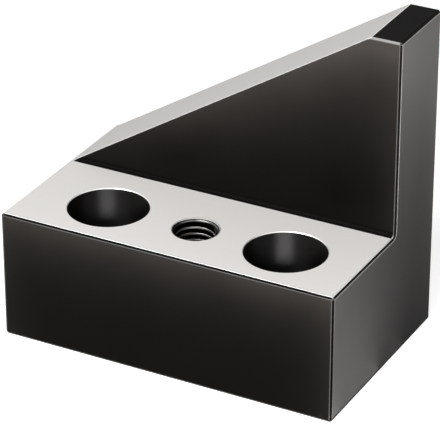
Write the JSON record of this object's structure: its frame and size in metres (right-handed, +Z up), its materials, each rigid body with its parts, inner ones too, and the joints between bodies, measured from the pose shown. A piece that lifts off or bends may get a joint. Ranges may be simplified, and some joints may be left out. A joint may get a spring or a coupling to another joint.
{
  "type": "half v-block",
  "caption": "Half V-block: blackened steel block with a flange for screws and a stud, and an upright whose ground incline supports round work, used in mirrored pairs.",
  "frame": {"origin": "centre of the resting face", "axes": "+X along the block, towards its tall end; the flange with the holes faces -Y; +Z up, square to the resting face"},
  "size_m": [0.08, 0.05, 0.075],
  "materials": {
    "blackened_steel": "black oxide, satin, with ground bright seat, incline and resting face"
  },
  "bodies": {
    "root": {"v_block_half": "blackened_steel"}
  },
  "joints": []
}
